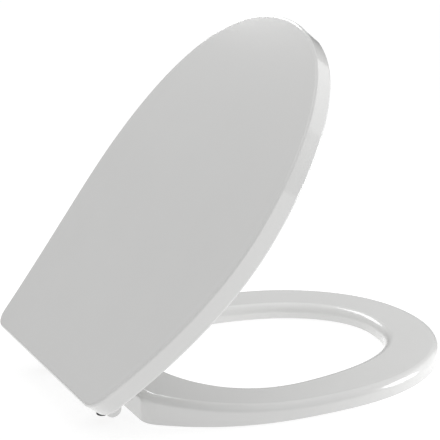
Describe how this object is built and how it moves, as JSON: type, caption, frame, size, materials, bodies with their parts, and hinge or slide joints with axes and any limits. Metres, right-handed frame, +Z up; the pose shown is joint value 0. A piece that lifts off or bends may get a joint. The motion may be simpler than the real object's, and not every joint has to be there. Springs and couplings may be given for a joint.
{
  "type": "toilet seat",
  "caption": "Toilet seat with an oval open-centre ring and a domed lid with a deep skirt on two soft-close hinge posts, the lid half open.",
  "frame": {"origin": "midway between the feet of the two hinge posts, straight below the hinge axis", "axes": "+Z up, -Y towards the front of the seat, +X across, along the hinge axis"},
  "size_m": [0.378, 0.4719, 0.3829],
  "materials": {
    "white_plastic": "smooth glossy white moulded plastic",
    "black_plastic": "satin black moulded plastic",
    "insert_brass": "plain turned",
    "pin_steel": "ground",
    "bumper_rubber": "soft white elastomer",
    "bush_plastic": "natural white",
    "damper_plastic": "grey moulded plastic"
  },
  "bodies": {
    "hinge": {"hinge_post_left": "black_plastic", "hinge_post_right": "black_plastic", "post_insert_left": "insert_brass", "post_insert_right": "insert_brass", "hinge_pin_left": "pin_steel", "hinge_pin_right": "pin_steel", "lid_damper_rotor": "damper_plastic", "ring_damper_rotor": "damper_plastic"},
    "ring": {"seat_ring": "white_plastic", "ring_damper_housing": "damper_plastic", "ring_damper_cap": "damper_plastic", "ring_bush": "bush_plastic", "ring_bumper_front_left": "bumper_rubber", "ring_bumper_front_right": "bumper_rubber", "ring_bumper_rear_left": "bumper_rubber", "ring_bumper_rear_right": "bumper_rubber"},
    "lid": {"lid": "white_plastic", "lid_damper_housing": "damper_plastic", "lid_damper_cap": "damper_plastic", "lid_bush": "bush_plastic", "lid_bumper_front_left": "bumper_rubber", "lid_bumper_front_right": "bumper_rubber", "lid_bumper_rear_left": "bumper_rubber", "lid_bumper_rear_right": "bumper_rubber"}
  },
  "joints": [
    {"name": "ring_hinge", "type": "hinge", "parent": "hinge", "child": "ring", "pos_m": [0, 0, 0.0172], "axis": [-1, 0, 0], "range_deg": [0, 100]},
    {"name": "lid_hinge", "type": "hinge", "parent": "ring", "child": "lid", "pos_m": [0, 0, 0.0172], "axis": [-1, 0, 0], "range_deg": [-52.2, 48]}
  ]
}
